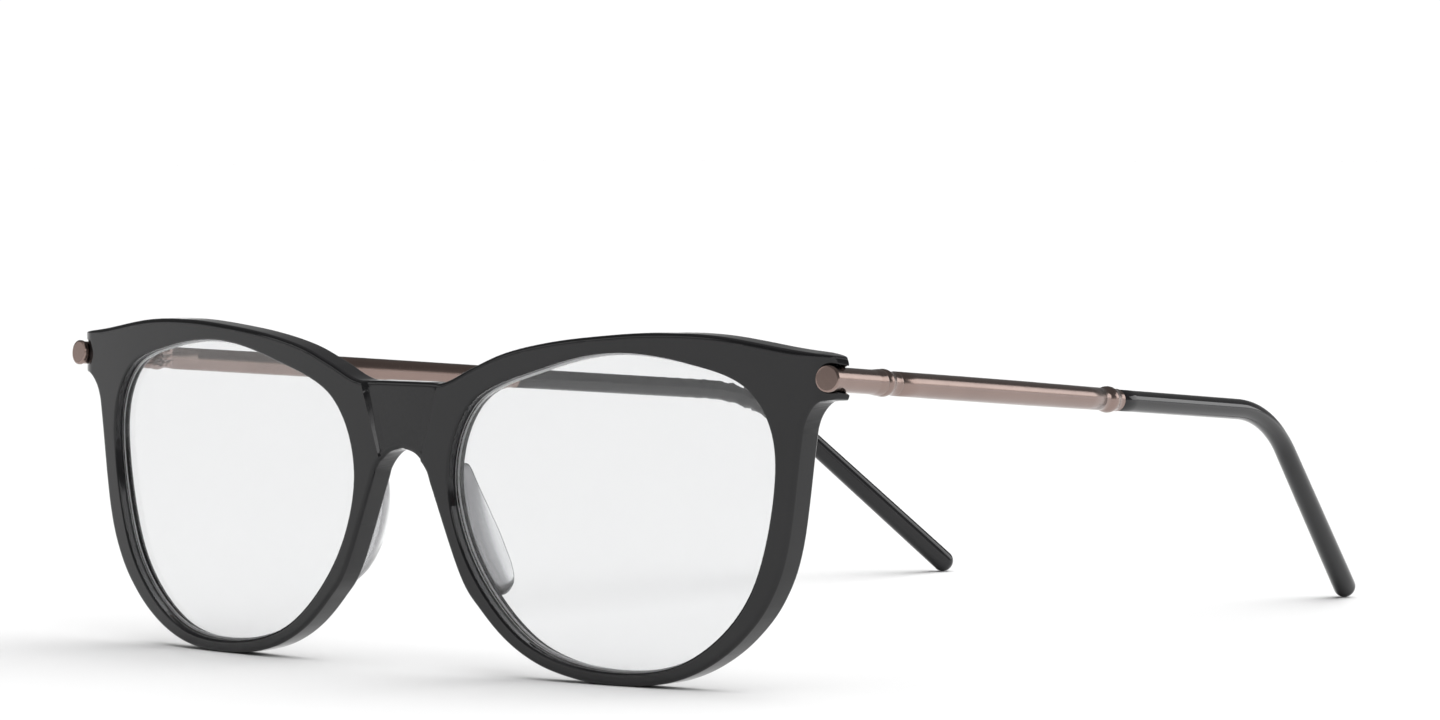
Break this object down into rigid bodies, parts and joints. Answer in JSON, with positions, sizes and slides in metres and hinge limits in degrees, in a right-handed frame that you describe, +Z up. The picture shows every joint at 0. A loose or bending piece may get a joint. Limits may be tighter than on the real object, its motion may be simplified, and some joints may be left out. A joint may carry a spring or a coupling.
{
  "type": "eyeglasses",
  "caption": "Eyeglasses with a thick moulded black front, clear lenses and nose pads, and metal tube temples that fold on hinges.",
  "frame": {"origin": "centre of the bounding box's underside: the level the rims' bottoms and the temple tips' ends stand on", "axes": "+X towards the wearer's left, +Y from the front back along the temples, +Z up; the front faces -Y"},
  "size_m": [0.1352, 0.1538, 0.0433],
  "materials": {
    "black_acetate": "polished black acetate",
    "bronze_metal": "satin bronze-brown coated metal",
    "screw_steel": "plain steel",
    "clear_lens": "clear, coated",
    "crystal_pad": "clear moulded plastic"
  },
  "bodies": {
    "front": {"front_frame": "black_acetate", "lens_left": "clear_lens", "lens_right": "clear_lens", "nose_pad_left": "crystal_pad", "nose_pad_right": "crystal_pad", "barrel_cap_left": "bronze_metal", "barrel_cap_right": "bronze_metal", "end_barrel_left": "bronze_metal", "end_barrel_right": "bronze_metal", "front_hinge_left": "bronze_metal", "front_hinge_right": "bronze_metal", "anchor_screw_upper_left": "screw_steel", "anchor_screw_upper_right": "screw_steel", "anchor_screw_lower_left": "screw_steel", "anchor_screw_lower_right": "screw_steel", "hinge_screw_left": "screw_steel", "hinge_screw_right": "screw_steel"},
    "temple_left": {"temple_hinge_left": "bronze_metal", "temple_spigot_left": "screw_steel", "front_bead_left": "bronze_metal", "temple_tube_left": "bronze_metal", "rear_bead_left": "bronze_metal", "core_wire_left": "screw_steel", "temple_tip_left": "black_acetate"},
    "temple_right": {"temple_hinge_right": "bronze_metal", "temple_spigot_right": "screw_steel", "front_bead_right": "bronze_metal", "temple_tube_right": "bronze_metal", "rear_bead_right": "bronze_metal", "core_wire_right": "screw_steel", "temple_tip_right": "black_acetate"}
  },
  "joints": [
    {"name": "temple_left_fold", "type": "hinge", "parent": "front", "child": "temple_left", "pos_m": [0.0609, -0.05986, 0.0372], "axis": [0, 0, 1], "range_deg": [0, 80]},
    {"name": "temple_right_fold", "type": "hinge", "parent": "front", "child": "temple_right", "pos_m": [-0.0609, -0.05986, 0.0372], "axis": [0, 0, -1], "range_deg": [0, 74]}
  ]
}
